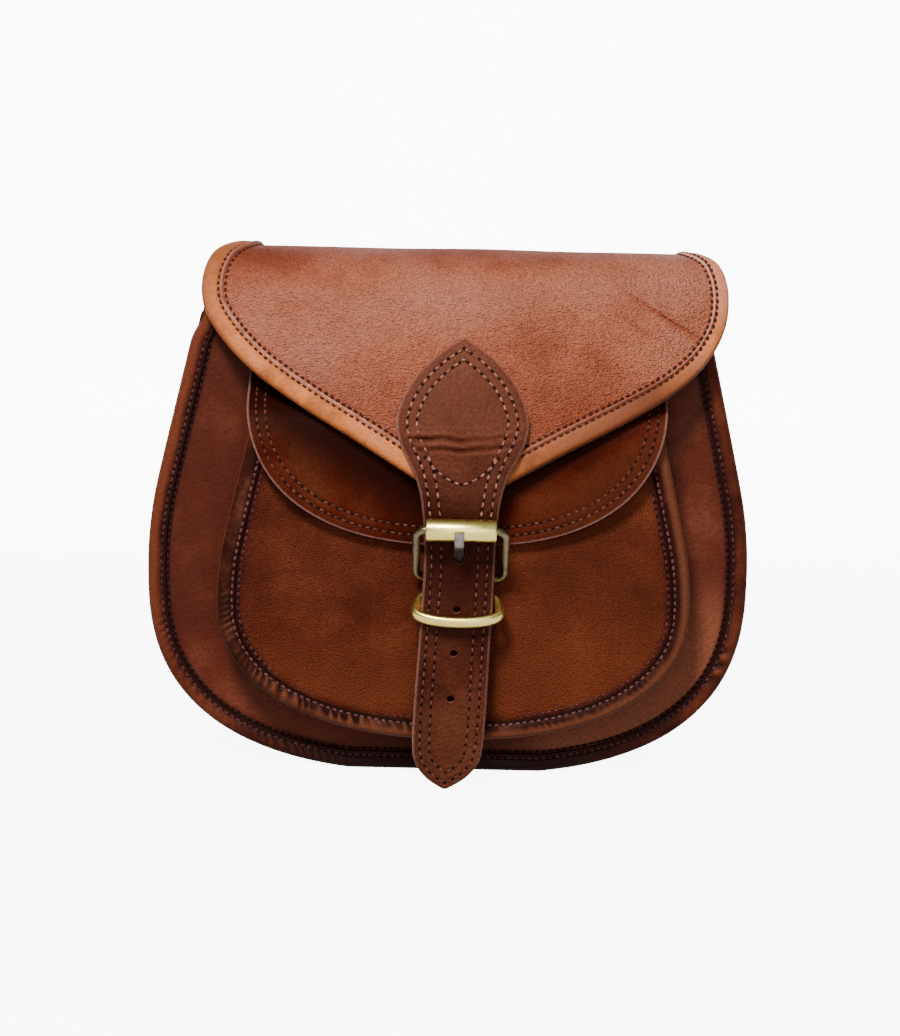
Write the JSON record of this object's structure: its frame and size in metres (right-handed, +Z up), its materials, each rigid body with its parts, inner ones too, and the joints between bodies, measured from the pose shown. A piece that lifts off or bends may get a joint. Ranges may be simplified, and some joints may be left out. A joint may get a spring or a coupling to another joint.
{
  "type": "leather crossbody bag",
  "caption": "Small brown leather saddle bag with a pointed flap, rounded front pocket and buckled closure strap, standing upright and fastened.",
  "frame": {"origin": "centre of the bag's box, at the surface it stands on", "axes": "+Z up, -Y out of the front, +X to the right as seen from the front"},
  "size_m": [0.2314, 0.0968, 0.203],
  "materials": {
    "leather_body": "satin",
    "leather_binding": "satin",
    "leather_dark": "satin",
    "leather_flap": "satin",
    "leather_tan": "satin",
    "brass_antique": "satin",
    "brass_pale": "satin",
    "thread": "matte"
  },
  "bodies": {
    "root": {"back_panel": "leather_body", "front_panel": "leather_body", "gusset": "leather_body", "front_binding": "leather_binding", "back_binding": "leather_binding", "strap_loop_left": "leather_body", "strap_loop_right": "leather_body", "pocket_gusset": "leather_body", "pocket_front": "leather_body", "pocket_binding": "leather_dark", "pocket_flap": "leather_dark", "main_flap": "leather_flap", "flap_binding": "leather_tan", "closure_strap": "leather_dark", "buckle_chape": "leather_dark", "buckle_frame": "brass_antique", "buckle_roller": "brass_pale", "buckle_prong": "brass_antique", "keeper_loop": "brass_pale"}
  },
  "joints": []
}
